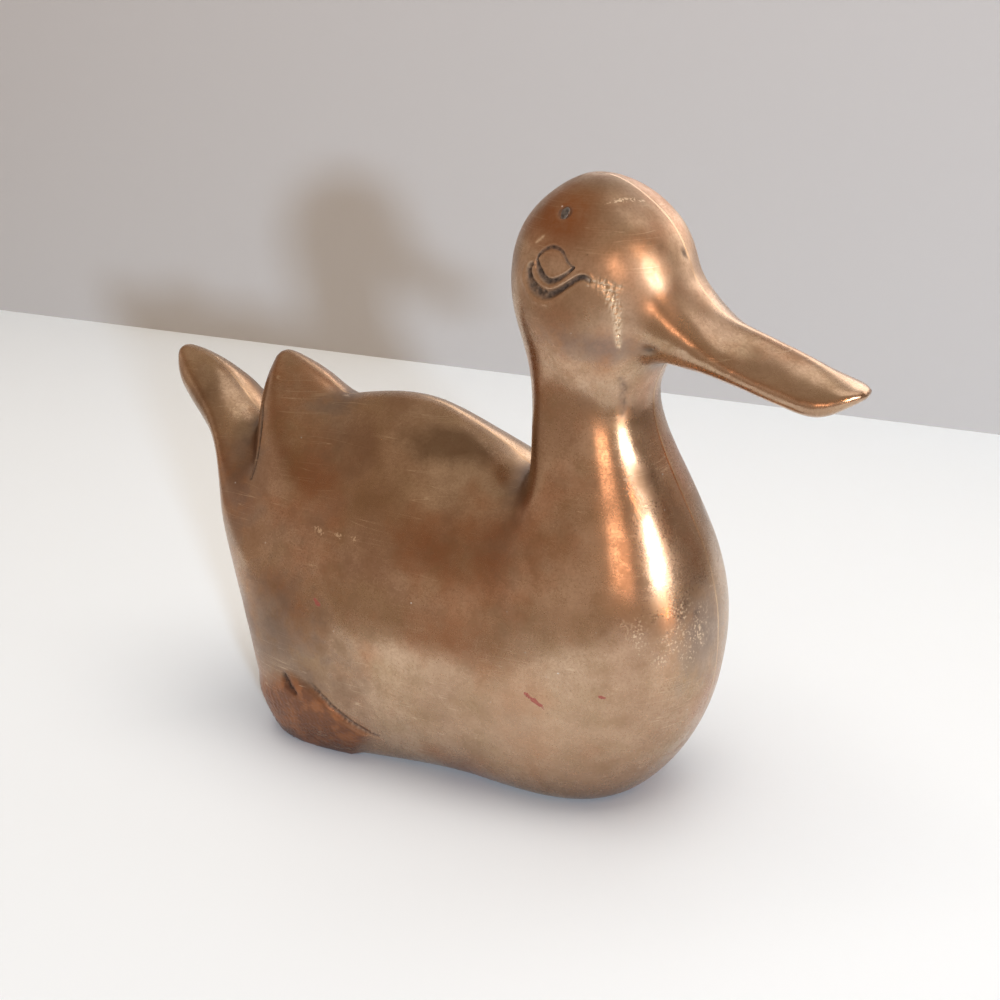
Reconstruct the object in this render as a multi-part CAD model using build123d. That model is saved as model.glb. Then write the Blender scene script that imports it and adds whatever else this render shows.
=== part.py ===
from build123d import *
import os
from dataclasses import dataclass
from math import cos, pi, sin

# A standing duck, cast hollow in brass as two halves and brazed together along its middle.
# Millimetres. X runs forward to the bill, Y to the duck's left and Z up from the table.

wall = 2.5               # cast wall, and the floor that closes the base
seam_width = 0.6         # braze that fills the joint between the halves
skin_strips = 12         # strips of skin from the top of one side to its keel
core_strips = 6
frames_per_rib = 2       # frames set out from one rib to the next

plug_diameter = 2.4      # closes a core pin's hole beside the crown
plug_root = (21.6, 3.5, 106.6)
plug_axis = (0, 0.72, 0.695)

foot_relief = 1.2        # how far a folded foot stands off the flank
foot_inner = 6           # how near to the middle plane a foot reaches
foot_heel = (-54, 10)
foot_arch = (-33, 20)
foot_web = (-23, 14.2)
foot_toe = (-13.5, 8)
foot_sole = (-19, 0)


@dataclass
class Rib:
    """One cross-section: its ends on the middle plane as (x, z), its width, and where it is widest.

    The widest place is a share of the way from the keel, 0, to the top, 1. A swell above 0 makes
    that end of the rib fuller than an ellipse, and one below 0 makes it more pointed.
    """
    top: tuple
    keel: tuple
    width: float
    widest: float = 0.5
    top_swell: float = 0.04
    keel_swell: float = 0.04


# Body, neck and head, from the tail to the crown. The body's ribs run on below the table, where
# the base is ground flat. Those of the neck and head run from the back of the neck to the front.
tail_tip = Rib(top=(-75, 78), keel=(-76, 76), width=3)
tail = Rib(top=(-68, 76.3), keel=(-74, 69.5), width=11, top_swell=-0.04)
rump = Rib(top=(-60, 70), keel=(-63, 58), width=20, top_swell=-0.05)
stern = Rib(top=(-52, 64.5), keel=(-57.8, 38), width=31, widest=0.45, top_swell=-0.06)
haunch = Rib(top=(-42, 69), keel=(-52.2, 19), width=40, widest=0.42, top_swell=-0.08)
hind_foot = Rib(top=(-29, 73.2), keel=(-42.5, -6), width=48, widest=0.4, top_swell=-0.09)
back = Rib(top=(-14.5, 74.3), keel=(-20.5, -6), width=53, widest=0.4, top_swell=-0.09)
shoulder = Rib(top=(-0.5, 69.6), keel=(6, -3.5), width=53, widest=0.42, top_swell=-0.06)
fore_foot = Rib(top=(7, 65.5), keel=(31.5, -2), width=50, widest=0.46, top_swell=0)
breast_low = Rib(top=(11, 63), keel=(46, 15), width=47, top_swell=0.06)
breast = Rib(top=(12.2, 67), keel=(49.6, 36), width=41, widest=0.48, top_swell=0.06)
breast_high = Rib(top=(12, 73.5), keel=(44.6, 56), width=32.5)
neck_low = Rib(top=(11.6, 80.5), keel=(36.7, 72), width=27)
neck_high = Rib(top=(10.2, 89), keel=(34.7, 81.5), width=26.5)
jaw = Rib(top=(8, 96.5), keel=(37, 88), width=30.5)
cheek = Rib(top=(7.4, 104), keel=(41, 97), width=33)
temple = Rib(top=(9.3, 111.5), keel=(40.5, 107.5), width=31)
crown = Rib(top=(14.3, 117.4), keel=(34, 116), width=22.5)
crown_tip = Rib(top=(21, 120.8), keel=(24.5, 120.8), width=4)
body_ribs = [tail_tip, tail, rump, stern, haunch, hind_foot, back, shoulder, fore_foot, breast_low, breast,
             breast_high, neck_low, neck_high, jaw, cheek, temple, crown, crown_tip]

# The hollow follows the body's ribs, and stops short of the tail.
core_ribs = body_ribs[body_ribs.index(stern):body_ribs.index(crown) + 1]

# Bill, from inside the head forward
bill_base = Rib(top=(28, 115), keel=(28, 89), width=26.5)
bill_flare = Rib(top=(38.8, 107.4), keel=(42, 88), width=24, widest=0.4, top_swell=-0.04)
bill_root = Rib(top=(46.5, 98.6), keel=(53, 86), width=20.5, widest=0.35, top_swell=-0.11)
bill = Rib(top=(56.5, 94.3), keel=(62.5, 83.2), width=18, widest=0.3, top_swell=-0.12)
bill_end = Rib(top=(66.5, 90.4), keel=(68.7, 83), width=16, widest=0.3, top_swell=-0.08)
bill_lip = Rib(top=(72, 88), keel=(72.7, 85), width=10)
bill_tip = Rib(top=(74.3, 87.2), keel=(74.3, 86.2), width=4)
bill_ribs = [bill_base, bill_flare, bill_root, bill, bill_end, bill_lip, bill_tip]

# Wing tips, folded over the tail
wing_point = Rib(top=(-48.3, 80), keel=(-50.2, 78.5), width=2.5)
wing_end = Rib(top=(-44.5, 78.8), keel=(-52.5, 70), width=13, top_swell=-0.06)
wing_middle = Rib(top=(-37.5, 75), keel=(-51.5, 59.5), width=26, widest=0.42, top_swell=-0.09)
wing_root = Rib(top=(-29, 69), keel=(-48.5, 47), width=36, widest=0.42, top_swell=-0.09)
wing_heel = Rib(top=(-21, 62), keel=(-41, 37), width=40, widest=0.42, top_swell=-0.09)
wing_ribs = [wing_point, wing_end, wing_middle, wing_root, wing_heel]


def between(start, end, share):
    return start + (end - start) * share


def guide_lines(ribs):
    """Smooth lines along the top, the widest side and the keel of a form, through all its ribs."""
    tops = [Vector(rib.top[0], 0, rib.top[1]) for rib in ribs]
    keels = [Vector(rib.keel[0], 0, rib.keel[1]) for rib in ribs]
    sides = [between(keel, top, rib.widest) + Vector(0, rib.width / 2, 0)
             for rib, top, keel in zip(ribs, tops, keels)]
    stations = [0.0]
    for i in range(1, len(ribs)):
        steps = [(line[i] - line[i - 1]).length for line in (tops, sides, keels)]
        stations.append(stations[-1] + sum(steps))
    stations = [station / stations[-1] for station in stations]
    lines = [Edge.make_spline(line, parameters=stations) for line in (tops, sides, keels)]
    return lines, stations


def frames(ribs):
    """Frames along a form, several from one rib to the next: top, side and keel points, and both swells."""
    lines, stations = guide_lines(ribs)
    found = []
    for i in range((len(ribs) - 1) * frames_per_rib + 1):
        here, step = divmod(i, frames_per_rib)
        there = min(here + 1, len(ribs) - 1)
        share = step / frames_per_rib
        place = between(stations[here], stations[there], share)
        points = [line.position_at(place, PositionMode.PARAMETER) for line in lines]
        found.append((*points, between(ribs[here].top_swell, ribs[there].top_swell, share),
                      between(ribs[here].keel_swell, ribs[there].keel_swell, share)))
    return found


def frame_points(frame, inset, strips):
    """Points down the left side of a frame, drawn in from its full size by the inset."""
    top, side, keel, top_swell, keel_swell = frame
    middle = (top + keel) / 2
    half_height = (top - keel) / 2
    shrink = 1 - inset / half_height.length
    lean = Vector(side.X, 0, side.Z) - middle
    half_width = side.Y - inset
    even = (top_swell + keel_swell) / 2
    odd = (top_swell - keel_swell) / 2
    points = []
    for i in range(strips + 1):
        angle = pi * i / strips
        out = (sin(angle) + (even + odd * cos(angle)) * sin(3 * angle)) / (1 - even)
        points.append(middle + half_height * shrink * cos(angle) + lean * sin(angle) ** 2
                      + Vector(0, half_width * out, 0))
    return points


def half_form(ribs, inset=0.0):
    """The left half of a form, skinned with strips between smooth lines that run its whole length."""
    rows = [frame_points(frame, inset, skin_strips) for frame in frames(ribs)]
    lines = [Edge.make_spline(list(points)) for points in zip(*rows)]
    skin = [Face.make_surface_from_curves(line, following) for line, following in zip(lines, lines[1:])]
    ends = [Face(Wire.make_polygon(row)) for row in (rows[0], rows[-1])]
    joins = [Edge.make_line(row[0], row[-1]) for row in (rows[0], rows[-1])]
    middle = Face(Wire([lines[0], lines[-1]] + joins))
    return Solid(Shell(skin + ends + [middle]))


def half_core(ribs):
    """The left half of a flat-sided core, one wall inside the form."""
    rows = [frame_points(frame, wall, core_strips) for frame in frames(ribs)[::frames_per_rib]]
    flats = [rows[0], rows[-1], [row[0] for row in rows] + [row[-1] for row in reversed(rows)]]
    for row, following in zip(rows, rows[1:]):
        for a, b, c, d in zip(row, row[1:], following[1:], following):
            flats += [(a, b, c), (a, c, d)]
    return Solid(Shell([Face(Wire.make_polygon(flat)) for flat in flats]))


def foot():
    """A folded foot in low relief: the flank's own form, enlarged and kept within the foot's outline."""
    outline = [Vector(x, foot_inner, z) for x, z in (foot_heel, foot_arch, foot_web, foot_toe)]
    foot_back = (foot_heel[0], foot_sole[1])
    under = [Vector(x, foot_inner, z) for x, z in (foot_toe, foot_sole, foot_back, foot_heel)]
    border = Wire([Edge.make_spline(outline), *Wire.make_polygon(under, close=False).edges()])
    block = extrude(Face(border), back.width, dir=(0, 1, 0))
    return half_form(body_ribs, -foot_relief) & block


def half_body():
    """The hollow half on the duck's left, up to the middle plane and down to its ground base."""
    outside = half_form(body_ribs).split(table, keep=Keep.TOP)
    outside = outside + half_form(bill_ribs) + half_form(wing_ribs) + foot()
    return outside - half_core(core_ribs).split(table.offset(wall), keep=Keep.TOP)


def core_pin():
    """The pin that held the core in the mould, on the duck's right, from the hollow out past the skin."""
    pin = Cylinder(plug_diameter / 2, temple.width, align=(Align.CENTER, Align.CENTER, Align.MIN))
    return mirror(Plane(origin=plug_root, z_dir=plug_axis) * pin, about=Plane.XZ)


table = Plane.XY
half = half_body()
joint = Plane(origin=(0, seam_width / 2, 0), z_dir=(0, 1, 0))
left_half = half.split(joint, keep=Keep.TOP)
right_half = mirror(left_half, about=Plane.XZ)
film = half.split(joint, keep=Keep.BOTTOM)

pieces = {
    "left_half_casting": left_half,
    "right_half_casting": right_half - core_pin(),
    "seam_braze": film + mirror(film, about=Plane.XZ),
    "head_plug": right_half & core_pin(),
}

# The origin is on the table, under the middle of the duck's length.
middle = half.bounding_box().center().X
os.makedirs("parts", exist_ok=True)
for node, piece in pieces.items():
    export_step(Pos(-middle, 0, 0) * piece, f"parts/{node}.step")
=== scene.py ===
import bpy
import bmesh
import numpy as np
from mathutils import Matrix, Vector


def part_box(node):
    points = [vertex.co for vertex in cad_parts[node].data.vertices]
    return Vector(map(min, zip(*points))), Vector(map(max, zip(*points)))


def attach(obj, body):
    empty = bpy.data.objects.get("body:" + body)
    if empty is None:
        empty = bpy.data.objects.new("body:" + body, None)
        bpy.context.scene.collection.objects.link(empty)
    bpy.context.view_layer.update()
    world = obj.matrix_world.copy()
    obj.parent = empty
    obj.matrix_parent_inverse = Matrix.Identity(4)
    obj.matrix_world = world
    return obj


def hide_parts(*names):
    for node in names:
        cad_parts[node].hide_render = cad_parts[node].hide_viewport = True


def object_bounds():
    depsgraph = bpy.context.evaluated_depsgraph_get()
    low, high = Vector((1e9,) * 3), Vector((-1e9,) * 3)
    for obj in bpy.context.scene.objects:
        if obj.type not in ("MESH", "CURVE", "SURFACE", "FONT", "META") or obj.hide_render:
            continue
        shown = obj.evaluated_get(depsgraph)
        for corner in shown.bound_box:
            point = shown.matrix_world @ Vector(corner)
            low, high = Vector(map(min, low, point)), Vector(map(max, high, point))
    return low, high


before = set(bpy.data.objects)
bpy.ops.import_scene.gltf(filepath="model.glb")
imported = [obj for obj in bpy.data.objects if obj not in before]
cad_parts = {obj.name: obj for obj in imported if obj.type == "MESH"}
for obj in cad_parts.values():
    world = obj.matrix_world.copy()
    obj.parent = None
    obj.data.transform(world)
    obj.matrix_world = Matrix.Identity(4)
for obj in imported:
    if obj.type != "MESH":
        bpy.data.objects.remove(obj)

cadBox = [[float(v) for v in corner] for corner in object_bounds()]
mm = 0.001
rng = np.random.default_rng(11)  # every random wave comes from this one seed


def hexColour(code):
    # sRGB hex to linear light
    s = np.array([int(code[i:i + 2], 16) for i in (1, 3, 5)]) / 255
    linear = np.where(s <= 0.04045, s / 12.92, ((s + 0.055) / 1.055) ** 2.4)
    return (*[float(v) for v in linear], 1.0)


def addNode(tree, kind, inputs=None, output=0, **settings):
    # one node: settings are its own fields, an input is joined to another node's output or set to a value
    node = tree.nodes.new(kind)
    for name, value in settings.items():
        setattr(node, name, value)
    for name, value in (inputs or {}).items():
        if isinstance(value, bpy.types.NodeSocket):
            tree.links.new(value, node.inputs[name])
        else:
            node.inputs[name].default_value = value
    return node.outputs[output] if node.outputs else node


casting = {
    "tipX": 74.3,          # mm, where the bill's last rib stands; the CAD box gives where it is in the frame
    "voxel": 0.62,         # mm, mesh of the fused skin
    "seam": 0.6,           # mm, width of the braze
    "proud": 0.1, "proudAt": ((39, 0, 68), 20),  # mm, how far the braze stands out of the filed skin, and where
    "edge": 0.9,           # mm, roundness of the edge round the base
    "grids": {"body": (420, 200), "bill": (160, 120), "wing": (90, 100)},  # points along and around each form
    "rounds": {"first": 8, "fillets": 33, "flush": 130, "last": 4, "refined": 10, "hollows": 40},  # smoothing steps
    "fileStep": 0.9,       # how hard each step of filing pulls
    "hollow": (0.05, 0.35), "ridge": (0.45, 0.6),  # mm from the smoothed skin where each starts, and its fade
    # each rib: top x, top z, keel x, keel z, width, widest place from keel 0 to top 1, swell of top and of keel
    "body": [(-75, 78, -76, 76, 3, .5, 0, 0), (-68, 76.3, -74, 69.5, 11, .5, -.04, .04),
             (-60, 70, -63, 58, 20, .5, -.05, .04), (-52, 64.5, -57.8, 38, 31, .45, -.06, .04),
             (-42, 69, -52.2, 19, 40, .42, -.08, .04), (-29, 73.2, -42.5, -6, 48, .4, -.09, .05),
             (-14.5, 74.3, -20.5, -6, 53, .4, -.09, .05), (-.5, 69.6, 6, -3.5, 53, .42, -.06, .04),
             (7, 65.5, 31.5, -2, 50, .46, 0, .04), (11, 63, 46, 15, 47, .5, .06, .04),
             (12.2, 67, 49.6, 36, 41, .48, .06, .04), (12, 73.5, 44.6, 56, 32.5, .5, .04, .04),
             (11.6, 80.5, 36.7, 72, 27, .5, .04, .04), (10.2, 89, 34.7, 81.5, 26.5, .5, .04, .04),
             (8, 96.5, 37, 88, 30.5, .5, .03, .03), (7.4, 104, 41, 97, 33, .5, .03, .03),
             (9.3, 111.5, 40.5, 107.5, 31, .5, .03, .03), (14.3, 117.4, 34, 116, 22.5, .5, .03, .03),
             (21, 120.8, 24.5, 120.8, 4, .5, .03, .03)],
    "bill": [(28, 115, 28, 89, 26.5, .5, .04, .04), (38.8, 107.4, 42, 88, 24, .4, -.04, .04),
             (46.5, 98.6, 53, 86, 20.5, .35, -.11, .04), (56.5, 94.3, 62.5, 83.2, 18, .3, -.12, .04),
             (66.5, 90.4, 68.7, 83, 16, .3, -.08, .04), (72, 88, 72.7, 85, 10, .5, .02, .04),
             (74.3, 87.2, 74.3, 86.2, 4, .5, .04, .04)],
    "wing": [(-48.3, 80, -50.2, 78.5, 2.5, .5, 0, 0), (-44.5, 78.8, -52.5, 70, 13, .5, -.06, .04),
             (-37.5, 75, -51.5, 59.5, 26, .42, -.09, .04), (-29, 69, -48.5, 47, 36, .42, -.09, .02),
             (-21, 62, -41, 37, 40, .42, -.09, .02)],
    # places that the maker filed round, as a ball's middle and radius, the same on both sides
    "fillets": [((39, 11, 97), 16), ((43, 0, 104), 13), ((-46, 8, 67), 10), ((9, 8, 60), 18)],
    "flush": [((-33, 13, 64), 17), ((-39, 18, 52), 14)],
    "waves": ((14, 0.07), (6, 0.02)),  # mm long and high: the hand-filed surface is never quite true
    "calm": 4,             # mm over which the waves grow, up from the base
}


def smoothLine(points, stations, places):
    # cubic line through the points with even slope and bend at each; the end slopes come from the last four points
    gap = np.diff(stations)
    rise = np.diff(points, axis=0) / gap[:, None]
    count = len(stations)
    system = np.eye(count)
    right = np.zeros_like(points)
    inner = np.arange(1, count - 1)
    system[inner, inner - 1] = gap[1:]
    system[inner, inner] = 2 * (gap[:-1] + gap[1:])
    system[inner, inner + 1] = gap[:-1]
    right[1:-1] = 3 * (gap[1:, None] * rise[:-1] + gap[:-1, None] * rise[1:])
    for row, four in ((0, slice(0, 4)), (-1, slice(-4, None))):
        fit = np.polyfit(stations[four] - stations[row], points[four], 3)
        right[row] = fit[2]
    slope = np.linalg.solve(system, right)
    k = np.clip(np.searchsorted(stations, places, side="right") - 1, 0, count - 2)
    h = gap[k][:, None]
    t = ((places - stations[k])[:, None]) / h
    a, b = points[k], points[k + 1]
    return ((1 + 2 * t) * (1 - t) ** 2 * a + t * (1 - t) ** 2 * h * slope[k]
            + t * t * (3 - 2 * t) * b + t * t * (t - 1) * h * slope[k + 1])


def ribForm(ribs, along, around):
    # a ring at each place along the form: cos from top to keel, sin out to the side, where sin(3a) makes the
    # top and the keel fuller or more pointed
    r = np.array(ribs, float)
    r[:, [0, 2]] += cadBox[1][0] / mm - casting["tipX"]
    zero = np.zeros(len(r))
    tops = np.stack([r[:, 0], zero, r[:, 1]], 1)
    keels = np.stack([r[:, 2], zero, r[:, 3]], 1)
    sides = keels + (tops - keels) * r[:, 5:6]
    sides[:, 1] = r[:, 4] / 2
    step = sum(np.linalg.norm(np.diff(line, axis=0), axis=1) for line in (tops, sides, keels))
    stations = np.concatenate([[0], np.cumsum(step)]) / step.sum()
    places = np.linspace(0, 1, along)
    top, side, keel = (smoothLine(line, stations, places)[:, None, :] for line in (tops, sides, keels))
    a = np.linspace(0, 2 * np.pi, around, endpoint=False)[None, :, None]
    middle, half = (top + keel) / 2, (top - keel) / 2
    lean = (side - middle) * np.array([1, 0, 1])
    full, keelFull = (np.interp(places, stations, r[:, k])[:, None, None] for k in (6, 7))
    even, odd = (full + keelFull) / 2, (full - keelFull) / 2
    swell = (np.sin(a) + (even + odd * np.cos(a)) * np.sin(3 * a)) / (1 - even)
    out = side * np.array([0, 1, 0])
    return (middle + half * np.cos(a) + lean * np.sin(a) ** 2 + out * swell) * mm


def closedRings(grid):
    # quads between neighbouring rings, and a fan to the middle of each end ring
    along, around = grid.shape[:2]
    points = np.concatenate([grid.reshape(-1, 3), grid[[0, -1]].mean(1)])
    i = np.arange(along - 1)[:, None] * around
    j = np.arange(around)[None, :]
    k = (j + 1) % around
    quads = np.stack([i + j, i + around + j, i + around + k, i + k], -1).reshape(-1, 4)
    last = (along - 1) * around
    j, k = j[0], k[0]
    fans = np.concatenate([np.stack([k, 0 * j + along * around, j], 1),
                           np.stack([last + j, 0 * j + along * around + 1, last + k], 1)])
    return points, quads, fans


def fusedSkin():
    # body, bill and wing tips as one closed skin of even small quads
    points, faces, start = [], [], 0
    for name, (along, around) in casting["grids"].items():
        p, quads, fans = closedRings(ribForm(casting[name], along, around))
        faces += (quads + start).tolist() + (fans + start).tolist()
        points.append(p)
        start += len(p)
    mesh = bpy.data.meshes.new("fused")
    mesh.from_pydata(np.concatenate(points).tolist(), [], faces)
    duck = bpy.data.objects.new("fused", mesh)
    bpy.context.collection.objects.link(duck)
    fuse = duck.modifiers.new("fuse", "REMESH")
    fuse.mode = "VOXEL"
    fuse.voxel_size = casting["voxel"] * mm
    fused = bpy.data.meshes.new_from_object(duck.evaluated_get(bpy.context.evaluated_depsgraph_get()))
    bpy.data.objects.remove(duck)
    return fused


def meshPoints(mesh):
    p = np.empty(len(mesh.vertices) * 3)
    mesh.vertices.foreach_get("co", p)
    return p.reshape(-1, 3)


def meshEdges(mesh):
    e = np.empty(len(mesh.edges) * 2, dtype=np.int64)
    mesh.edges.foreach_get("vertices", e)
    return e.reshape(-1, 2)


def setPoints(mesh, points):
    # puts the points back, and gives the normals that they make
    mesh.vertices.foreach_set("co", points.ravel())
    mesh.update()
    n = np.empty(len(points) * 3)
    mesh.vertex_normals.foreach_get("vector", n)
    return n.reshape(-1, 3)


def neighbourMean(values, edges, count):
    a, b = edges.T
    near = np.bincount(a, minlength=count) + np.bincount(b, minlength=count)
    columns = values.reshape(count, -1).T
    total = [np.bincount(a, c[b], count) + np.bincount(b, c[a], count) for c in columns]
    return (np.stack(total, 1) / np.maximum(near, 1)[:, None]).reshape(values.shape)


def relax(points, edges, weight, rounds):
    # each point moves part of the way to the mean of its neighbours
    w = np.broadcast_to(np.asarray(weight, float).reshape(-1, 1), (len(points), 1))
    for i in range(rounds):
        points = points + w * (neighbourMean(points, edges, len(points)) - points)
    return points


def fair(points, edges, rounds, weight=1.0):
    # takes out ripples without shrinking: a step in, then a slightly longer step out
    weight = np.asarray(weight, float)
    for i in range(rounds):
        points = relax(points, edges, 0.5 * weight, 1)
        points = relax(points, edges, -0.52 * weight, 1)
    return points


def nearBall(points, centre, radius):
    # 1 at the centre, falling smoothly to 0 at the radius, the same on both sides of the duck
    p = np.abs(points * [0, 1, 0]) + points * [1, 0, 1]
    d = np.linalg.norm(p - np.array(centre) * mm, axis=1) / (radius * mm)
    return np.clip(1 - d * d, 0, 1) ** 2


def ballWeight(points, balls):
    # the balls together, with a wide full part: 1.6 times their sum, cut off at 1
    return np.clip(1.6 * sum(nearBall(points, c, r) for c, r in balls), 0, 1)


def ripple(points, size, count=24):
    # random waves of about one length, in mm, mostly between -1 and 1
    way = rng.normal(size=(3, count))
    way *= 2 * np.pi / (size * mm) / np.linalg.norm(way, axis=0) * rng.uniform(0.7, 1.4, count)
    return np.sin(points @ way + rng.uniform(0, 2 * np.pi, count)).sum(1) / np.sqrt(2 * count)


skin = fusedSkin()
points, edges = meshPoints(skin), meshEdges(skin)
print("fused skin", len(points), "points")
rounds = casting["rounds"]
points = fair(points, edges, rounds["first"])
for name in ("fillets", "flush"):
    points = relax(points, edges, casting["fileStep"] * ballWeight(points, casting[name]), rounds[name])
points = fair(points, edges, rounds["last"])
e = casting["edge"] * mm
points[:, 2] = (points[:, 2] + np.sqrt(points[:, 2] ** 2 + e * e)) / 2  # what lies under the table is pressed flat
points[:, 2] -= points[:, 2].min()
setPoints(skin, points)
print("faired")

chasing = {
    # boxes that need a finer mesh: lowest and highest x and z in mm, and cuts of each edge
    "fine": [((15, 90, 37.5, 117), 2), ((-46, 2, -9, 24), 1), ((-51, 52, -41, 73), 1)],
    # the eye's chased lines as seen from the side: x, z and half-width in mm, the same on both sides
    "upperLid": [(18.8, 106.9, .22), (18.9, 107.9, .25), (19.5, 108.6, .28), (21.7, 109.8, .32), (23.8, 109.2, .28),
                 (24.8, 107.9, .22), (26.3, 106.8, .2)],
    "lowerLid": [(17.7, 106.4, .35), (16.9, 105.4, .6), (17.1, 103.8, .9), (18.5, 102.2, 1.0), (21.2, 101.5, .8),
                 (23.9, 102.7, .5), (26.5, 104.5, .45), (27.9, 105.2, .45), (29.2, 104.8, .4)],
    "innerLid": [(18.8, 106.9, .4), (19.6, 105.3, .65), (21.4, 104.0, .55), (23.8, 104.7, .35), (26.3, 106.7, .22)],
    "wingCrease": [(-47.4, 70.2, .3), (-46.2, 66, .45), (-46, 61.5, .4), (-46.6, 56, .2)],
    "deep": 0.992,         # depth of a line as a share of its half-width
    "lip": 0.16,           # height of the burr beside it, the same way
    "rough": 0.9, "grain": 0.45,  # mm, coarse and fine waves that roughen what is cut
    "clear": 5,            # mm on each side of the middle plane that has no chasing
    # rough marks on the right side only
    "cheekBand": [(29.2, 104.7, .7), (31, 104.2, 1.0), (32.6, 103.7, 1.0), (34.2, 103.6, .6)],
    "cheekScar": [(31.6, 103.9, .9), (32.8, 102.2, .85), (33.7, 99.8, .7), (33.9, 96.9, .65), (33.8, 92.9, .3)],
    "throatScar": [(33.0, 86.5, .3), (33.4, 84.7, .55), (33.1, 82.8, .4), (33.2, 80.8, .5), (33.0, 79, .25)],
    "eyeNick": [(18.0, 110.1, .2), (18.5, 110.5, .3), (19.0, 110.9, .3), (19.5, 111.4, .2)],
    "scars": {"cheekBand": 0.12, "cheekScar": 0.2, "eyeNick": 0.05, "throatScar": 0.12},  # mm, how rough each is
    "bandTone": 0.6, "throatDark": 0.55,  # how bright the band is, and how dark the throat's scar
    # pits on the right: place, radius and depth in mm
    "pits": [((38.5, -10.5, 92.2), 1.1, .4), ((41.0, -1.0, 108.1), .9, .2), ((48.2, -7.8, 43.1), .9, .15)],
}
feet = {
    "border": [(-56, 11), (-46, 14.5), (-38.5, 18), (-32, 20.3), (-27, 18), (-23, 14.4), (-18.9, 11.2), (-13, 8.4)],
    "sole": ((-19, 0.5), (-13.3, 8.2)),  # the toe's lower edge, in x and z
    "relief": 0.85, "innerY": 6,  # mm, height of a foot, and how near it comes to the middle plane
    "bevel": ((-36, 5.0), (-24, 1.5)),  # x and width in mm: wide at the heel and narrow at the toe
    "line": {"from": -28, "fade": 3, "to": -12.5, "outside": 8, "width": 0.5, "depth": 0.28},  # over the toe, in mm
    "pit": [(-34.2, 18.0, .5), (-33.4, 16.9, .9), (-32.4, 15.8, .9), (-31.2, 15.0, .5)],
    "pitDepth": 0.7, "texture": 0.06,  # mm
}


def refine(mesh, boxes):
    # cuts the edges inside each box into shorter ones
    for (lowX, lowZ, highX, highZ), cuts in boxes:
        p, ends = meshPoints(mesh) / mm, meshEdges(mesh)
        inside = (p[:, 0] > lowX) & (p[:, 0] < highX) & (p[:, 2] > lowZ) & (p[:, 2] < highZ)
        inside &= np.abs(p[:, 1]) > chasing["clear"]
        bm = bmesh.new()
        bm.from_mesh(mesh)
        bm.edges.ensure_lookup_table()
        chosen = [bm.edges[i] for i in np.flatnonzero(inside[ends].all(1))]
        bmesh.ops.subdivide_edges(bm, edges=chosen, cuts=cuts, use_grid_fill=True)
        bm.to_mesh(mesh)
        bm.free()


def fromLine(points, marks, places=120, margin=4):
    # how far each point lies from a line as seen from the side, as a share of the line's half-width there
    m = np.array(marks, float)
    run = np.concatenate([[0], np.cumsum(np.linalg.norm(np.diff(m[:, :2], axis=0), axis=1))])
    line = smoothLine(m, run / run[-1], np.linspace(0, 1, places))
    away = np.full(len(points), 99.0)
    low, high = line[:, :2].min(0) - margin, line[:, :2].max(0) + margin
    flat = points[:, [0, 2]] / mm
    outside = np.abs(points[:, 1]) > chasing["clear"] * mm
    close = np.flatnonzero((flat > low).all(1) & (flat < high).all(1) & outside)
    gap = np.linalg.norm(flat[close, None] - line[None, :, :2], axis=2)
    away[close] = (gap / line[None, :, 2]).min(1)
    return away


refine(skin, chasing["fine"])
points, edges = meshPoints(skin), meshEdges(skin)
length = np.linalg.norm(points[edges[:, 0]] - points[edges[:, 1]], axis=1)
small = np.zeros(len(points))
small[edges[length < 0.7 * casting["voxel"] * mm].ravel()] = 1
points = fair(points, edges, rounds["refined"], np.clip(relax(small[:, None], edges, 0.5, 3)[:, 0], 0, 1))
normals = setPoints(skin, points)
print("refined", len(points), "points")

# the chased and cast detail, all as moves along the skin's normals
move = np.zeros(len(points))
lift = np.clip(points[:, 2] / (casting["calm"] * mm), 0, 1)
for size, height in casting["waves"]:
    move += height * lift * ripple(points, size)
rough, grain = ripple(points, chasing["rough"]), ripple(points, chasing["grain"])
groove = np.zeros(len(points))
for name in ("upperLid", "lowerLid", "innerLid", "wingCrease"):
    u = fromLine(points, chasing[name])
    wide = float(np.mean(np.array(chasing[name])[:, 2]))
    cut = np.exp(-u ** 4) * (1 + 0.25 * rough)
    burr = np.exp(-((u - 1.8) / 0.6) ** 2) * (1 + 0.4 * rough)
    move += wide * (chasing["lip"] * burr - chasing["deep"] * cut)
    groove = np.maximum(groove, cut)
onRight = points[:, 1] < 0
scar = np.zeros(len(points))
for name, height in chasing["scars"].items():
    mark = np.exp(-fromLine(points, chasing[name]) ** 2) * onRight
    move += height * mark * (0.6 * rough + grain - 0.4)
    worn = mark * np.clip(0.95 + 0.3 * rough + 0.6 * grain, 0, 1)
    if name == "throatScar":
        groove = np.maximum(groove, chasing["throatDark"] * worn)
    else:
        scar = np.maximum(scar, worn * (chasing["bandTone"] if name == "cheekBand" else 1))
for place, radius, depth in chasing["pits"]:
    near = np.exp(-(np.linalg.norm(points - np.array(place) * mm, axis=1) / (radius * mm)) ** 2)
    move -= depth * near
    groove = np.maximum(groove, 0.8 * near)
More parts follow.
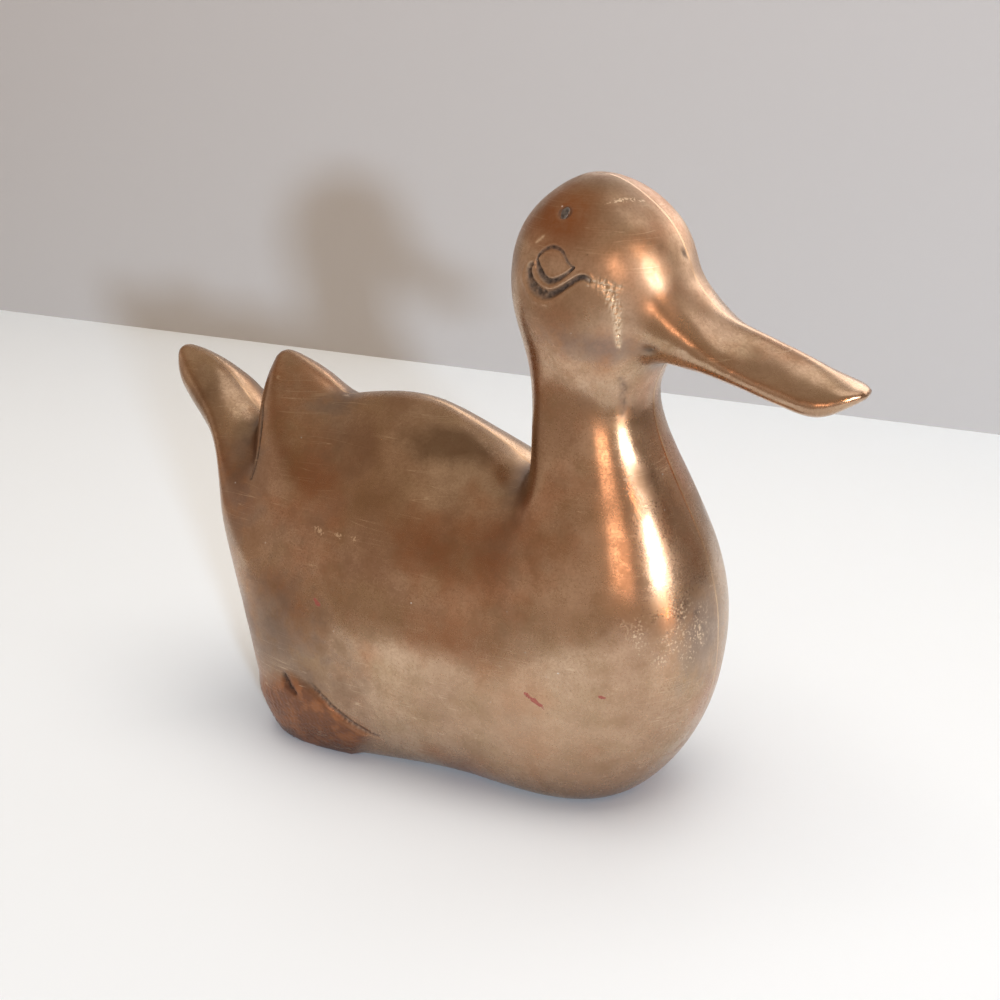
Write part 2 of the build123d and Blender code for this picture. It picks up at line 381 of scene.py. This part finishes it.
# a foot is the skin inside its border, raised with a bevel, under a chased line
m = np.array(feet["border"], float)
x, z = points[:, 0] / mm, points[:, 2] / mm
spots = np.linspace(m[0, 0], m[-1, 0], 200)
border = smoothLine(m[:, 1:], (m[:, 0] - m[0, 0]) / (m[-1, 0] - m[0, 0]), np.linspace(0, 1, 200))[:, 0]
below = np.interp(x, spots, border) - z
(x0, z0), (x1, z1) = feet["sole"]
behind = ((x1 - x0) * (z - z0) - (z1 - z0) * (x - x0)) / np.hypot(x1 - x0, z1 - z0)
fromMiddle = np.abs(points[:, 1]) / mm - feet["innerY"]
inner = np.minimum(np.minimum(below * 0.85, behind * 0.5), fromMiddle)  # mm inside the nearest border
pad = np.clip(inner / np.interp(x, *zip(*feet["bevel"])), 0, 1)
pad = pad * pad * (3 - 2 * pad)
move += feet["relief"] * pad
line = feet["line"]
overToe = np.clip((x - line["from"]) / line["fade"], 0, 1) * (x < line["to"])
edgeLine = np.exp(-((below - 0.1 - 0.25 * grain) / line["width"]) ** 2) * overToe
edgeLine = edgeLine * (np.abs(points[:, 1]) > line["outside"] * mm)
move -= line["depth"] * edgeLine * (1 + 0.8 * rough)
footPit = np.exp(-fromLine(points, feet["pit"]) ** 2)
move -= feet["pitDepth"] * footPit * (1 + 0.4 * rough)
move += feet["texture"] * pad * rough
groove = np.maximum(groove, np.maximum(edgeLine * np.clip(0.45 + 0.6 * rough, 0, 1), footPit))

# the plug sits in a dimple beside the crown, where its CAD node is
plug = {"radius": 1.0, "tall": 1.5, "sunk": 0.12, "deep": 3.0,  # mm; tall is the oval's height over its width
        "snug": 0.85,                                          # the peg's radius as a share of the hole's
        "dimple": 0.3, "dimpleWide": 1.25,                     # depth in mm, and width as a share of the radius
        "rim": 1.15, "rimWide": 0.3, "rimDark": 0.9}           # the dark ring round it
low, high = (np.array(c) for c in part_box("head_plug"))
plugEnd = np.array([(low[0] + high[0]) / 2, low[1], high[2]])
spot = int(np.argmin(np.linalg.norm(points - plugEnd, axis=1)))
plugPlace, plugNormal = points[spot].copy(), normals[spot].copy()
ring = np.linalg.norm(points - plugPlace, axis=1) / (plug["radius"] * mm)
move -= plug["dimple"] * np.exp(-(ring / plug["dimpleWide"]) ** 4)
groove = np.maximum(groove, plug["rimDark"] * np.exp(-((ring - plug["rim"]) / plug["rimWide"]) ** 2))

points = points + normals * (move * mm)[:, None]
points = np.clip(points, cadBox[0], cadBox[1])
normals = setPoints(skin, points)
# hollows and ridges: how far the skin stands from a smoothed copy of itself
soft = relax(points, edges, 0.5, rounds["hollows"])
stand = ((points - soft) * normals).sum(1) / mm
stand = relax(stand[:, None], edges, 0.5, 4)[:, 0]
(hollowStart, hollowFade), (ridgeStart, ridgeFade) = casting["hollow"], casting["ridge"]
hollow = np.clip((hollowStart - stand) / hollowFade, 0, 1)
ridge = np.clip((stand - ridgeStart) / ridgeFade, 0, 1)
for name, values in (("hollow", hollow), ("ridge", ridge), ("groove", groove), ("scar", scar), ("pad", pad)):
    skin.attributes.new(name, "FLOAT", "POINT").data.foreach_set("value", np.clip(values, 0, 1).astype(np.float32))
print("chased", "hollow", round(float(hollow.mean()), 3), "ridge", round(float(ridge.mean()), 3))


def splitHalf(mesh, name, low, high):
    # keeps the skin between two planes across the duck and closes the cuts
    bm = bmesh.new()
    bm.from_mesh(mesh)
    for y, outer in ((low, -1), (high, 1)):
        if y is None:
            continue
        geom = bm.verts[:] + bm.edges[:] + bm.faces[:]
        bmesh.ops.bisect_plane(bm, geom=geom, plane_co=(0, y * mm, 0), plane_no=(0, outer, 0), clear_outer=True)
    for face in bm.faces:
        face.smooth = True
    rim = [edge for edge in bm.edges if edge.is_boundary]
    for edge in rim:
        edge.smooth = False
    caps = bmesh.ops.holes_fill(bm, edges=rim, sides=0)["faces"]
    for face in caps:
        face.smooth = False
    out = bpy.data.meshes.new(name)
    bm.to_mesh(out)
    bm.free()
    piece = bpy.data.objects.new(name, out)
    bpy.context.collection.objects.link(piece)
    return piece


def plugForm():
    # a low dome on a round peg, set along the skin's normal and a little oval
    profile = np.array([(0.05, 0.1), (0.3, 0.09), (0.6, 0.06), (0.85, 0.0), (0.97, -0.08), (1.0, -0.25), (1.0, -1)])
    turn = np.linspace(0, 2 * np.pi, 40, endpoint=False)
    down = np.array([0, 0, 1]) - plugNormal * plugNormal[2]
    down /= np.linalg.norm(down)
    across = np.cross(plugNormal, down)
    oval = across * np.cos(turn)[:, None] + down * (plug["tall"] * np.sin(turn))[:, None]
    uneven = 1 + 0.05 * np.sin(3 * turn + 1) + 0.04 * np.sin(5 * turn)
    out = profile[:, :1, None] * (oval * uneven[:, None])[None] * plug["radius"] * plug["snug"]
    rise = np.where(profile[:, 1] < -0.9, -plug["deep"], profile[:, 1] - plug["sunk"])
    return plugPlace + (out + rise[:, None, None] * plugNormal) * mm


half = casting["seam"] / 2
rightHalf = splitHalf(skin, "rightHalf", None, -half)
leftHalf = splitHalf(skin, "leftHalf", half, None)
seamFilm = splitHalf(skin, "seamFilm", -half, half)
film = meshPoints(seamFilm.data)
outward = setPoints(seamFilm.data, film) * [1, 0, 1]  # the braze grows away from the skin, along the middle plane
outward /= np.maximum(np.linalg.norm(outward, axis=1), 1e-6)[:, None]
height = casting["proud"] * mm * nearBall(film, *casting["proudAt"])
setPoints(seamFilm.data, np.clip(film + outward * height[:, None], cadBox[0], cadBox[1]))
p, quads, fans = closedRings(plugForm())
plugMesh = bpy.data.meshes.new("headPlug")
plugMesh.from_pydata(p.tolist(), [], quads.tolist() + fans.tolist())
plugMesh.polygons.foreach_set("use_smooth", np.ones(len(plugMesh.polygons), bool))
headPlug = bpy.data.objects.new("headPlug", plugMesh)
bpy.context.collection.objects.link(headPlug)
for piece, node, slot in ((rightHalf, "right_half_casting", "cast_brass"),
                          (leftHalf, "left_half_casting", "cast_brass"),
                          (seamFilm, "seam_braze", "braze"), (headPlug, "head_plug", "plug_metal")):
    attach(piece, "root")
    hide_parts(node)
    piece.data.calc_loop_triangles()
    print(piece.name, len(piece.data.loop_triangles), "triangles")


def newMaterial(name):
    material = bpy.data.materials.new(name)
    material.use_nodes = True
    tree = material.node_tree
    tree.nodes.clear()
    return material, tree


brassLook = {
    "colours": {"clean": "#d2b498", "film": "#ac8c73", "olive": "#a58b69", "warm": "#b3764e", "brown": "#94704f",
                "speckle": "#86664d", "dull": "#84766e", "stain": "#7a6049", "pore": "#2a201a", "bare": "#f2dabc",
                # foot: partly the feet's own dark red-brown, partly painted shade from the shaded table they face
                "foot": "#7c5039", "footWorn": "#a8724f", "halo": "#b0744c", "paint": "#8f3a30", "dust": "#dcd6cc"},
    # clouds: size of a patch in mm, detail and place of the pattern
    "clouds": {"cloud": (24, 5.0, 0.0), "drift": (20, 4.0, 0.3), "bloom": (9, 4.0, 0.7), "mottle": (4.0, 5.0, 0.1),
               "fine": (1.1, 2.0, 0.5), "grain": (0.5, 1.0, 0.9), "porous": (12, 2.0, 0.8),
               "dusty": (26, 2.0, 0.15)},
    # specks: size of a cell in mm, share of cells with a speck, its radius as a share of the cell, place
    "specks": {"pore": (2.2, 0.16, 0.14, 0.0), "dust": (2.2, 0.3, 0.11, 0.35)},
    # hair scratches: turn about y in radians, and place of the pattern
    "hairs": [(0.5, 0.2), (-0.7, 0.6), (1.4, 0.9)],
    "hairSize": 3, "hairPatch": 16,  # mm, noise that makes the lines, and size of a scratched patch
    # how the noise is drawn out, and how near its middle level a line shows
    "hairStretch": (0.06, 0.06, 2.2), "hairWidth": 0.006,
    "haloReach": (0.009, 0.002),  # metres from the plug, where its halo ends and where it is full
    # marks: middle and size in mm, turns about y and z in degrees
    "paint marks": [((-24.6, -24.9, 36.5), (2.6, 6, 1.0), (30, 0)), ((23.7, -24.6, 26.5), (5.4, 6, 1.0), (33, 0)),
                    ((36.3, -21.9, 29.1), (1.6, 6, 0.8), (10, 0)), ((-18.0, 24.8, 41.0), (2.2, 6, 0.9), (-25, 0))],
    "wear marks": [((-26.7, -20.2, 49.8), (1.9, 6, 0.8), (12, 0)), ((-21.4, -21.0, 50.0), (1.4, 6, 0.7), (-10, 0)),
                   ((-17.6, -21.4, 50.2), (1.1, 6, 0.7), (0, 0)), ((31.6, -5.75, 117.2), (5.4, 0.6, 4), (0, 58.8)),
                   ((39.5, -6.6, 5.0), (6.5, 1.0, 1.0), (-36.7, 35.5))],
    "scuff marks": [((46, -11, 40), (16, 18, 15), (0, 0)), ((41, -17, 43), (9, 9, 6), (30, 0))],
    "stain marks": [((-65, 0, 66), (24, 44, 24), (0, 0)), ((-31, -20, 26), (40, 40, 28), (0, 0)),
                    ((37, -9, 67.5), (9, 8, 9), (0, 0)), ((-2, -8, 68), (26, 22, 8), (0, 0))],
    # a lighter patch on the lower near flank, toward clean metal: a painted reflection of the white table
    "rubbed marks": [((20, -22, 24), (72, 32, 46), (0, 0))],
    "matt marks": [((27, 0, 108), (52, 50, 40), (0, 0))],
    "haze marks": [((29, -13, 93), (26, 14, 8), (8, 0)), ((-49, 0, 52), (18, 70, 44), (0, 0)),
                   ((-32, 0, 71), (16, 24, 7), (0, 0)), ((-37, 0, 26), (46, 80, 42), (0, 0)),
                   ((49, -5, 38), (14, 24, 24), (0, 0))],
    # kinds of mark: the cloud that tears its edge, how far, and where its fade ends
    "edges": {"paint": ("fine", 0.4, 0.75), "wear": ("grain", 1.2, 0.5), "haze": ("mottle", 0.5, 0.2),
              "scuff": ("mottle", 0.6, 0.3), "stain": ("bloom", 0.4, 0.2), "matt": ("bloom", 0.1, 0.5),
              "rubbed": ("bloom", 0.3, 0.1)},
    # shares: the field that each comes from, the range that counts, and what it becomes
    "shares": {"filmed": ("cloud", 0.36, 0.64, 0.0, 1.0), "greened": ("bloom", 0.46, 0.68, 0.0, 0.45),
               "orange": ("drift", 0.5, 0.68, 0.0, 0.55), "blotched": ("mottle", 0.46, 0.7, 0.0, 0.3),
               "speckled": ("grain", 0.4, 0.75, 0.0, 0.25), "footRubbed": ("mottle", 0.46, 0.6, 0.0, 0.8),
               "uneven": ("mottle", 0.3, 0.6, 0.45, 1.0), "broken": ("porous", 0.42, 0.6, 0.0, 0.4),
               "dustFall": ("dusty", 0.4, 0.56, 0.0, 1.0), "filled": ("fine", 0.3, 0.6, 0.4, 1.0),
               "flecked": ("grain", 0.56, 0.64, 0.0, 1.0)},
    # what breaks up each field
    "broken by": {"grey": "uneven", "nearPlug": "uneven", "pore": "broken", "dust": "dustFall", "groove": "filled",
                  "wear": "uneven", "scuff": "flecked", "footRubbed": "pad"},
    # layers of colour over the clean metal, from the lowest up: field, strength, colour
    "layers": [("filmed", 1.0, "film"), ("greened", 1.0, "olive"), ("orange", 1.0, "warm"),
               ("blotched", 1.0, "brown"), ("speckled", 1.0, "speckle"), ("ridge", 0.6, "film"),
               # the feet's colour on this line is partly their own dark red-brown and partly painted shade from the
               # table
               # the layer toward clean metal on this line is a painted reflection of the white table on the lower near
               # flank
               ("rubbed", 0.4, "clean"), ("stain", 0.75, "stain"), ("grey", 0.9, "dull"), ("pad", 0.9, "foot"),
               ("footRubbed", 1.0, "footWorn"), ("nearPlug", 1.0, "halo"), ("hair", 0.5, "bare"),
               ("pore", 1.0, "pore"), ("groove", 0.85, "pore"), ("scar", 1.0, "bare"), ("wear", 0.8, "bare"),
               ("scuff", 0.75, "bare"), ("paint", 0.85, "paint"), ("dust", 0.9, "dust")],
    # roughness of satin brass, and what each field adds: the range that counts, and what it becomes
    "roughness": 0.25,
    "rougher": [("grain", 0.36, 0.64, -0.03, 0.03), ("cloud", 0.3, 0.7, -0.03, 0.04),
                ("mottle", 0.35, 0.65, -0.04, 0.06), ("grey", 0.0, 1.0, 0.0, 0.16), ("groove", 0.0, 1.0, 0.0, 0.35),
                ("scar", 0.0, 1.0, 0.0, 0.06), ("matt", 0.0, 1.0, 0.0, 0.17), ("stain", 0.0, 1.0, 0.0, 0.06),
                ("pad", 0.0, 1.0, 0.0, 0.06)],
    "covers": {"paint": 0.8, "groove": 0.5, "dust": 0.9},  # what lies on the metal hides it
    "heights": {"fine": 0.35, "pore": -1.2, "hair": -0.3, "paint": 0.8},  # as shares of bumpHeight
    "bumpHeight": 0.03,    # mm
}


def castBrass():
    # cast brass, polished long ago and gone brown: a clouded film of brown and orange over warm satin metal, dull grey
    # in the hollows, evenly filmed on ridges, with pores, hair scratches, dust and a few flecks of red paint;
    # a painted reflection of the white table lightens the lower near flank, and the feet's dark red-brown is partly
    # their own tone and partly painted shade
    material, tree = newMaterial("agedCastBrass")
    look = {name: hexColour(code) for name, code in brassLook["colours"].items()}
    place = addNode(tree, "ShaderNodeTexCoord", output="Object")
    field = {}
    for name in ("hollow", "ridge", "groove", "scar", "pad"):
        field[name] = addNode(tree, "ShaderNodeAttribute", output="Fac", attribute_name=name)
    for name, (size, detail, shift) in brassLook["clouds"].items():
        at = addNode(tree, "ShaderNodeMapping", {"Vector": place, "Location": (shift, shift * 0.7, -shift)})
        field[name] = addNode(tree, "ShaderNodeTexNoise", {"Vector": at, "Scale": 1 / (size * mm), "Detail": detail,
                                                           "Roughness": 0.6})
    for name, (size, share, radius, shift) in brassLook["specks"].items():
        at = addNode(tree, "ShaderNodeMapping", {"Vector": place, "Location": (shift, -shift, shift)})
        cells = addNode(tree, "ShaderNodeTexVoronoi", {"Vector": at, "Scale": 1 / (size * mm)})
        pick = addNode(tree, "ShaderNodeSeparateColor", {"Color": cells.node.outputs["Color"]})
        large = addNode(tree, "ShaderNodeMapRange", {"Value": pick, 1: 1 - share, 2: 1.0, 4: radius})
        inside = addNode(tree, "ShaderNodeMath", {0: large, 1: cells}, operation="SUBTRACT")
        field[name] = addNode(tree, "ShaderNodeMapRange", {"Value": inside, 2: 0.08})
    hair = 0.0
    for turn, shift in brassLook["hairs"]:  # thin level lines of stretched noise
        at = addNode(tree, "ShaderNodeMapping", {"Vector": place, "Location": (shift, shift * 0.7, -shift),
                                                 "Rotation": (0, turn, 0), "Scale": brassLook["hairStretch"]})
        wave = addNode(tree, "ShaderNodeTexNoise", {"Vector": at, "Scale": 1 / (brassLook["hairSize"] * mm),
                                                    "Detail": 1.0})
        level = addNode(tree, "ShaderNodeMath", {0: wave, 1: 0.5}, operation="SUBTRACT")
        level = addNode(tree, "ShaderNodeMath", {0: level}, operation="ABSOLUTE")
        thin = addNode(tree, "ShaderNodeMapRange", {"Value": level, 1: brassLook["hairWidth"], 2: 0.0})
        at = addNode(tree, "ShaderNodeMapping", {"Vector": place, "Location": (-shift, shift, shift)})
        where = addNode(tree, "ShaderNodeTexNoise", {"Vector": at, "Scale": 1 / (brassLook["hairPatch"] * mm),
                                                     "Detail": 2.0})
        where = addNode(tree, "ShaderNodeMapRange", {"Value": where, 1: 0.55, 2: 0.66})
        thin = addNode(tree, "ShaderNodeMath", {0: thin, 1: where}, operation="MULTIPLY")
        hair = addNode(tree, "ShaderNodeMath", {0: hair, 1: thin}, operation="MAXIMUM")
    field["hair"] = hair
    for name, (source, torn, edge) in brassLook["edges"].items():
        most = 0.0
        ragged = addNode(tree, "ShaderNodeMapRange", {"Value": field[source], 1: 0.3, 2: 0.7, 3: -torn, 4: torn})
        for centre, size, (turnY, turnZ) in brassLook[name + " marks"]:
            at = addNode(tree, "ShaderNodeMapping", {
                "Vector": place, "Location": [v * mm for v in centre], "Scale": [v / 2 * mm for v in size],
                "Rotation": (0, np.radians(turnY), np.radians(turnZ))}, vector_type="TEXTURE")
            reach = addNode(tree, "ShaderNodeVectorMath", {"Vector": at}, "Value", operation="LENGTH")
            reach = addNode(tree, "ShaderNodeMath", {0: reach, 1: ragged}, operation="ADD")
            mark = addNode(tree, "ShaderNodeMapRange", {"Value": reach, 1: 1.0, 2: edge})
            most = addNode(tree, "ShaderNodeMath", {0: most, 1: mark}, operation="MAXIMUM")
        field[name] = most
    away = addNode(tree, "ShaderNodeVectorMath", {0: place, 1: [float(v) for v in plugPlace]}, "Value",
                   operation="DISTANCE")
    far, near = brassLook["haloReach"]
    field["nearPlug"] = addNode(tree, "ShaderNodeMapRange", {"Value": away, 1: far, 2: near})
    for name, (source, low, high, start, end) in brassLook["shares"].items():
        field[name] = addNode(tree, "ShaderNodeMapRange", {"Value": field[source], 1: low, 2: high, 3: start, 4: end})
    field["grey"] = addNode(tree, "ShaderNodeMath", {0: field["hollow"], 1: field["haze"]}, operation="MAXIMUM")
    for name, by in brassLook["broken by"].items():
        field[name] = addNode(tree, "ShaderNodeMath", {0: field[name], 1: field[by]}, operation="MULTIPLY")
    tone = look["clean"]
    for name, strength, colour in brassLook["layers"]:
        share = addNode(tree, "ShaderNodeMath", {0: field[name], 1: strength}, operation="MULTIPLY")
        tone = addNode(tree, "ShaderNodeMix", {0: share, 6: tone, 7: look[colour]}, 2, data_type="RGBA")
    shine = brassLook["roughness"]
    for name, low, high, start, end in brassLook["rougher"]:
        part = addNode(tree, "ShaderNodeMapRange", {"Value": field[name], 1: low, 2: high, 3: start, 4: end})
        shine = addNode(tree, "ShaderNodeMath", {0: shine, 1: part}, operation="ADD")
    metal = 1.0
    for name, strength in brassLook["covers"].items():
        cover = addNode(tree, "ShaderNodeMapRange", {"Value": field[name], 3: 1.0, 4: 1.0 - strength})
        metal = addNode(tree, "ShaderNodeMath", {0: metal, 1: cover}, operation="MULTIPLY")
    height = 0.0
    for name, rise in brassLook["heights"].items():
        height = addNode(tree, "ShaderNodeMath", {0: field[name], 1: rise, 2: height}, operation="MULTIPLY_ADD")
    bump = addNode(tree, "ShaderNodeBump", {"Height": height, "Strength": 0.5,
                                            "Distance": brassLook["bumpHeight"] * mm})
    shader = addNode(tree, "ShaderNodeBsdfPrincipled", {"Base Color": tone, "Roughness": shine, "Metallic": metal,
                                                        "Normal": bump})
    addNode(tree, "ShaderNodeOutputMaterial", {"Surface": shader})
    return material


def plainMetal(name, light, dark, size, roughness):
    # one metal clouded between two tones, for the braze and the plug
    material, tree = newMaterial(name)
    place = addNode(tree, "ShaderNodeTexCoord", output="Object")
    cloud = addNode(tree, "ShaderNodeTexNoise", {"Vector": place, "Scale": 1 / (size * mm), "Detail": 4.0})
    share = addNode(tree, "ShaderNodeMapRange", {"Value": cloud, 1: 0.35, 2: 0.65})
    tone = addNode(tree, "ShaderNodeMix", {0: share, 6: hexColour(dark), 7: hexColour(light)}, 2, data_type="RGBA")
    shine = addNode(tree, "ShaderNodeMapRange", {"Value": cloud, 3: roughness + 0.1, 4: roughness - 0.06})
    bump = addNode(tree, "ShaderNodeBump", {"Height": cloud, "Strength": 0.4, "Distance": 0.05 * mm})
    shader = addNode(tree, "ShaderNodeBsdfPrincipled", {"Base Color": tone, "Roughness": shine, "Normal": bump,
                                                        "Metallic": 1.0})
    addNode(tree, "ShaderNodeOutputMaterial", {"Surface": shader})
    return material


brass = castBrass()
braze = plainMetal("filedBraze", "#cfae8c", "#b2906f", 14.0, 0.26)      # brazing brass, filed: a shade paler
solder = plainMetal("greySolder", "#a9a7a8", "#6f6c6d", 0.8, 0.5)      # lead solder: dull grey with a soft, dented top
for piece, material in ((rightHalf, brass), (leftHalf, brass), (seamFilm, braze), (headPlug, solder)):
    piece.data.materials.append(material)
print("materials")

stage = {"nearLeft": (-0.6, 0.163), "nearRight": (0.30, -0.31), "farLeft": (-0.398, 0.254), "farRight": (0.055, 0.274),
         "wallEnds": (-1.2, 0.16), "wallTop": 0.4, "table": "#e9f2f7", "wall": "#bbb7b3"}


def sheet(name, corners, colour, roughness):
    # one flat board, painted matt on its front and clear from behind
    mesh = bpy.data.meshes.new(name)
    mesh.from_pydata(corners, [], [(0, 1, 2, 3)])
    board = bpy.data.objects.new(name, mesh)
    bpy.context.collection.objects.link(board)
    material, tree = newMaterial(name + "Paint")
    paint = addNode(tree, "ShaderNodeBsdfPrincipled", {"Base Color": hexColour(colour), "Roughness": roughness})
    clear = addNode(tree, "ShaderNodeBsdfTransparent")
    behind = addNode(tree, "ShaderNodeNewGeometry", output="Backfacing")
    seen = addNode(tree, "ShaderNodeMixShader", {0: behind, 1: paint, 2: clear})
    addNode(tree, "ShaderNodeOutputMaterial", {"Surface": seen})
    mesh.materials.append(material)


def alongFarEdge(x):
    # the table's far edge runs on both ways through its two marks
    (xa, ya), (xb, yb) = stage["farLeft"], stage["farRight"]
    return (x, ya + (yb - ya) * (x - xa) / (xb - xa))


farLeft, farRight = alongFarEdge(stage["nearLeft"][0]), alongFarEdge(stage["nearRight"][0])
sheet("table", [(*stage["nearLeft"], 0), (*stage["nearRight"], 0), (*farRight, 0), (*farLeft, 0)], stage["table"], 0.6)
wallLeft, wallRight = (alongFarEdge(x) for x in stage["wallEnds"])
top = stage["wallTop"]
sheet("wall", [(*wallLeft, 0), (*wallRight, 0), (*wallRight, top), (*wallLeft, top)], stage["wall"], 0.7)

# lamps: place, aim, size in metres, watts, colour, and whether it lights the stage and shows in the metal
lamps = {
    "window": ((0.61, -0.05, 0.22), (0.03, 0, 0.06), (0.19, 0.11), 1.35, "#fbfdff", False, True),
    "highBulb": ((0.52, -0.13, 0.37), (0.03, 0, 0.1), (0.03, 0.03), 0.18, "#ffb578", False, True),
    "lowBulb": ((0.52, -0.05, 0.06), (0.03, 0, 0.1), (0.03, 0.03), 0.1, "#ffb578", False, True),
    "roomGlow": ((0.35, -0.51, 0.24), (0, 0, 0.06), (0.24, 0.13), 0.38, "#ffc9a8", False, True),
    "skylight": ((0.25, 0.22, 0.55), (0.06, 0, 0.09), (0.32, 0.32), 0.3, "#fbfdff", False, True),
    "rimStrip": ((0.05, 0.255, 0.19), (0.02, 0, 0.1), (0.40, 0.10), 0.24, "#fff6ee", False, True),
    "overhead": ((0.1, 0.0, 0.9), (0.05, 0.05, 0), (0.8, 0.8), 6.2, "#fff3ea", True, False),
    "key": ((0.812, -0.887, 0.275), (0.02, 0, 0.1), (0.07, 0.07), 14.0, "#cfe6ff", True, False),
}
for name, (place, aim, size, power, colour, lights, shows) in lamps.items():
    data = bpy.data.lights.new(name, "AREA")
    data.shape = "RECTANGLE"
    data.size, data.size_y = size
    data.energy = power
    data.color = hexColour(colour)[:3]
    light = bpy.data.objects.new(name, data)
    light.location = place
    light.rotation_euler = (Vector(aim) - Vector(place)).to_track_quat("-Z", "Y").to_euler()
    light.visible_camera, light.visible_diffuse, light.visible_glossy = False, lights, shows
    bpy.context.collection.objects.link(light)

# the room as the metal sees it: tones from straight down, 0, to straight up, 1, with one dark corner
room = {"tones": [(0.0, "#b5a08f"), (0.48, "#b5a08f"), (0.54, "#d4c2b4"), (0.735, "#9a7e66"), (0.885, "#b4a290"),
                  (1.0, "#b4a696")],
        "corner": (0.84, 0.53, 0.1), "cornerEdge": (0.8, 0.95), "cornerDim": 0.55}
world = bpy.data.worlds.new("room")
world.use_nodes = True
bpy.context.scene.world = world
tree = world.node_tree
tree.nodes.clear()
look = addNode(tree, "ShaderNodeTexCoord", output="Generated")
upward = addNode(tree, "ShaderNodeSeparateXYZ", {"Vector": look}, "Z")
level = addNode(tree, "ShaderNodeMapRange", {"Value": upward, 1: -1.0, 2: 1.0})
ramp = addNode(tree, "ShaderNodeValToRGB", {"Fac": level})
for i, (stop, code) in enumerate(room["tones"]):
    marks = ramp.node.color_ramp.elements
    mark = marks[i] if i < 2 else marks.new(stop)
    mark.position, mark.color = stop, hexColour(code)
facing = addNode(tree, "ShaderNodeVectorMath", {0: look, 1: room["corner"]}, "Value", operation="DOT_PRODUCT")
outer, inner = room["cornerEdge"]
level = addNode(tree, "ShaderNodeMapRange", {"Value": facing, 1: outer, 2: inner, 3: 1.0, 4: room["cornerDim"]})
dim = addNode(tree, "ShaderNodeBackground", {"Color": ramp, "Strength": level})
addNode(tree, "ShaderNodeOutputWorld", {"Surface": dim})
print("stage and lamps")

view = {"place": (0.1357, -0.2489, 0.1576), "aim": (0.00335, 0, 0.055), "lens": 54, "sensor": 36, "near": 0.01}
cameraData = bpy.data.cameras.new("photoView")
cameraData.sensor_fit = "HORIZONTAL"
cameraData.sensor_width = view["sensor"]
cameraData.lens = view["lens"]
cameraData.clip_start = view["near"]
camera = bpy.data.objects.new("photoView", cameraData)
camera.location = view["place"]
camera.rotation_euler = (Vector(view["aim"]) - Vector(view["place"])).to_track_quat("-Z", "Y").to_euler()
bpy.context.collection.objects.link(camera)
bpy.context.scene.camera = camera
bpy.context.scene.view_settings.view_transform = "Standard"
